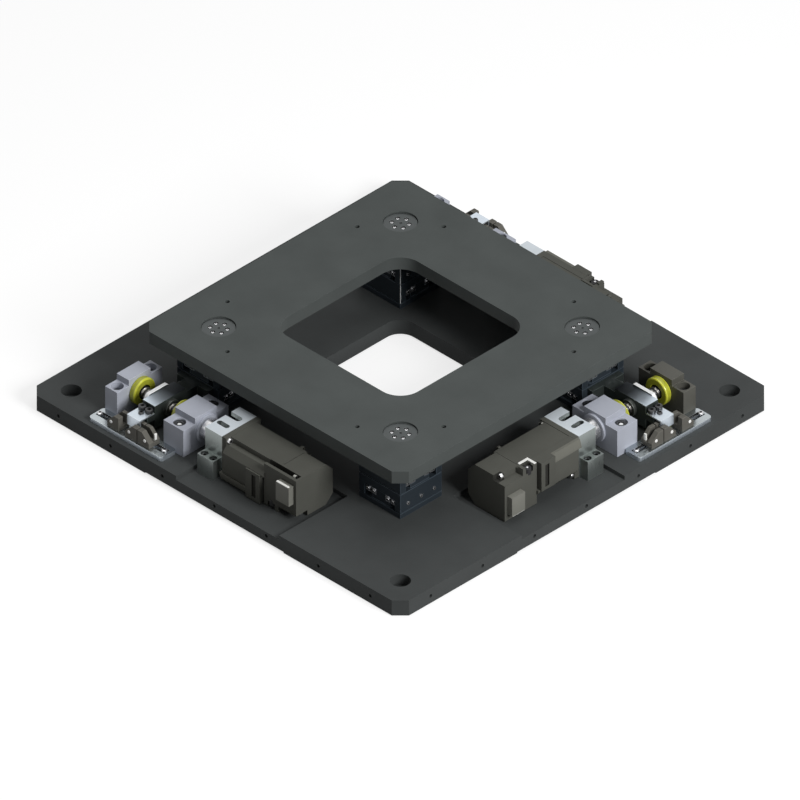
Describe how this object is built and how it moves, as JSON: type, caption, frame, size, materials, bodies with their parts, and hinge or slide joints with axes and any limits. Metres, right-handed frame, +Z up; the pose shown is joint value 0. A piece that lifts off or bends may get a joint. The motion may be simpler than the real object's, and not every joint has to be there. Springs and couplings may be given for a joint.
{
  "type": "xy-theta alignment stage",
  "caption": "Flat xy-theta alignment stage: square top plate with a central aperture, carried by crossed-roller modules and driven by motorised ball screws on a base plate.",
  "frame": {"origin": "centre of the base plate's underside", "axes": "+Z up through the aperture; +X and +Y square to the plates' sides, with no module's drive at the corner +X -Y"},
  "size_m": [0.43, 0.43, 0.079],
  "materials": {
    "base_black": "black hard-anodised plate",
    "plate_black": "dark grey hard-anodised plate",
    "guide_steel": "blued black steel, satin",
    "rail_steel": "ground bearing steel",
    "motor_brown": "dark brown-grey satin paint",
    "bright_aluminium": "clear-anodised aluminium",
    "block_steel": "pale satin plated block",
    "block_dark": "dark bronze-grey block",
    "plated_sheet": "bright plated sheet",
    "sensor_plastic": "brown-black moulded plastic",
    "stopper_yellow": "olive-yellow urethane",
    "screw_steel": "black oxide screws",
    "cap_steel": "dark grey anodised cap",
    "cage_brass": "roller cage"
  },
  "bodies": {
    "base": {"base_plate": "base_black", "guide_bases": "guide_steel", "lower_rails": "rail_steel", "motor_a": "motor_brown", "motor_b": "motor_brown", "motor_c": "motor_brown", "motor_mounts": "bright_aluminium", "fixed_blocks": "block_steel", "support_block_a": "block_steel", "support_block_b": "block_dark", "support_block_c": "block_steel", "sensor_plates": "plated_sheet", "photo_sensors": "sensor_plastic", "stopper_rings": "stopper_yellow", "screw_bearings": "rail_steel", "block_screws": "screw_steel"},
    "screw_a": {"ball_screw_a": "rail_steel", "coupling_a": "bright_aluminium"},
    "carriage_a": {"carriage_a": "guide_steel", "carriage_rails_a": "rail_steel", "ball_nut_a": "rail_steel", "nut_bracket_a": "guide_steel", "sensor_dog_a": "plated_sheet"},
    "lower_cages_a": {"lower_cages_a": "cage_brass"},
    "screw_b": {"ball_screw_b": "rail_steel", "coupling_b": "bright_aluminium"},
    "carriage_b": {"carriage_b": "guide_steel", "carriage_rails_b": "rail_steel", "ball_nut_b": "rail_steel", "nut_bracket_b": "guide_steel", "sensor_dog_b": "plated_sheet", "carriage_d": "guide_steel", "carriage_rails_d": "rail_steel"},
    "lower_cages_b": {"lower_cages_b": "cage_brass"},
    "screw_c": {"ball_screw_c": "rail_steel", "coupling_c": "bright_aluminium"},
    "carriage_c": {"carriage_c": "guide_steel", "carriage_rails_c": "rail_steel", "ball_nut_c": "rail_steel", "nut_bracket_c": "guide_steel", "sensor_dog_c": "plated_sheet"},
    "lower_cages_c": {"lower_cages_c": "cage_brass"},
    "saddle_a": {"saddle_a": "guide_steel", "saddle_rails_a": "rail_steel", "pivot_cap_a": "cap_steel"},
    "upper_cages_a": {"upper_cages_a": "cage_brass"},
    "saddle_b": {"saddle_b": "guide_steel", "saddle_rails_b": "rail_steel", "pivot_cap_b": "cap_steel"},
    "upper_cages_b": {"upper_cages_b": "cage_brass"},
    "saddle_c": {"saddle_c": "guide_steel", "saddle_rails_c": "rail_steel", "pivot_cap_c": "cap_steel"},
    "upper_cages_c": {"upper_cages_c": "cage_brass"},
    "saddle_d": {"saddle_d": "guide_steel", "saddle_rails_d": "rail_steel", "pivot_cap_d": "cap_steel"},
    "upper_cages_d": {"upper_cages_d": "cage_brass"},
    "top": {"top_plate": "plate_black", "bearing_rings": "rail_steel"}
  },
  "joints": [
    {"name": "stage_x", "type": "slide", "parent": "base", "child": "carriage_c", "axis": [1, 0, 0], "range_m": [-0.005, 0.005]},
    {"name": "stage_y", "type": "slide", "parent": "carriage_c", "child": "saddle_c", "axis": [0, 1, 0], "range_m": [-0.005, 0.005]},
    {"name": "stage_theta", "type": "hinge", "parent": "saddle_c", "child": "top", "pos_m": [-0.105, 0.105, 0.071], "axis": [0, 0, 1], "range_deg": [-1, 1]},
    {"name": "pivot_a", "type": "hinge", "parent": "top", "child": "saddle_a", "pos_m": [-0.105, -0.105, 0.071], "axis": [0, 0, 1], "range_deg": [-1, 1]},
    {"name": "guide_a", "type": "slide", "parent": "saddle_a", "child": "carriage_a", "axis": [0, 1, 0], "range_m": [-0.005, 0.005]},
    {"name": "pivot_b", "type": "hinge", "parent": "top", "child": "saddle_b", "pos_m": [0.105, 0.105, 0.071], "axis": [0, 0, 1], "range_deg": [-1, 1]},
    {"name": "guide_b", "type": "slide", "parent": "saddle_b", "child": "carriage_b", "axis": [1, 0, 0], "range_m": [-0.005, 0.005]},
    {"name": "pivot_d", "type": "hinge", "parent": "top", "child": "saddle_d", "pos_m": [0.105, -0.105, 0.071], "axis": [0, 0, 1], "range_deg": [-1, 1]},
    {"name": "screw_a_turn", "type": "hinge", "parent": "base", "child": "screw_a", "pos_m": [0, -0.166, 0.032], "axis": [1, 0, 0], "range_deg": [-450.5, 450.5]},
    {"name": "screw_b_turn", "type": "hinge", "parent": "base", "child": "screw_b", "pos_m": [0.166, 0, 0.032], "axis": [0, 1, 0], "range_deg": [-450.5, 450.5]},
    {"name": "screw_c_turn", "type": "hinge", "parent": "base", "child": "screw_c", "pos_m": [0, 0.166, 0.032], "axis": [1, 0, 0], "range_deg": [-450.5, 450.5]},
    {"name": "lower_cages_a_roll", "type": "slide", "parent": "base", "child": "lower_cages_a", "axis": [1, 0, 0], "range_m": [-0.0025, 0.0025]},
    {"name": "lower_cages_b_roll", "type": "slide", "parent": "base", "child": "lower_cages_b", "axis": [0, 1, 0], "range_m": [-0.0025, 0.0025]},
    {"name": "lower_cages_c_roll", "type": "slide", "parent": "base", "child": "lower_cages_c", "axis": [1, 0, 0], "range_m": [-0.0025, 0.0025]},
    {"name": "upper_cages_a_roll", "type": "slide", "parent": "saddle_a", "child": "upper_cages_a", "axis": [0, 1, 0], "range_m": [-0.0025, 0.0025]},
    {"name": "upper_cages_b_roll", "type": "slide", "parent": "saddle_b", "child": "upper_cages_b", "axis": [1, 0, 0], "range_m": [-0.0025, 0.0025]},
    {"name": "upper_cages_c_roll", "type": "slide", "parent": "carriage_c", "child": "upper_cages_c", "axis": [0, 1, 0], "range_m": [-0.0025, 0.0025]},
    {"name": "upper_cages_d_roll", "type": "slide", "parent": "saddle_d", "child": "upper_cages_d", "axis": [1, 0, 0], "range_m": [-0.0025, 0.0025]}
  ],
  "couplings": [
    {"joint": "pivot_a", "follows": "stage_theta", "ratio": -1},
    {"joint": "pivot_b", "follows": "stage_theta", "ratio": -1},
    {"joint": "pivot_d", "follows": "stage_theta", "ratio": -1},
    {"joint": "guide_a", "follows": "stage_y", "ratio": -1},
    {"joint": "guide_b", "follows": "stage_x", "ratio": -1},
    {"joint": "screw_a_turn", "follows": "stage_x", "rad_per_m": -1570.8},
    {"joint": "screw_c_turn", "follows": "stage_x", "rad_per_m": -1570.8},
    {"joint": "screw_b_turn", "follows": "stage_y", "rad_per_m": -1570.8},
    {"joint": "lower_cages_a_roll", "follows": "stage_x", "ratio": 0.5},
    {"joint": "lower_cages_c_roll", "follows": "stage_x", "ratio": 0.5},
    {"joint": "lower_cages_b_roll", "follows": "stage_y", "ratio": 0.5},
    {"joint": "upper_cages_a_roll", "follows": "stage_y", "ratio": -0.5},
    {"joint": "upper_cages_c_roll", "follows": "stage_y", "ratio": 0.5},
    {"joint": "upper_cages_b_roll", "follows": "stage_x", "ratio": -0.5},
    {"joint": "upper_cages_d_roll", "follows": "stage_x", "ratio": -0.5}
  ]
}
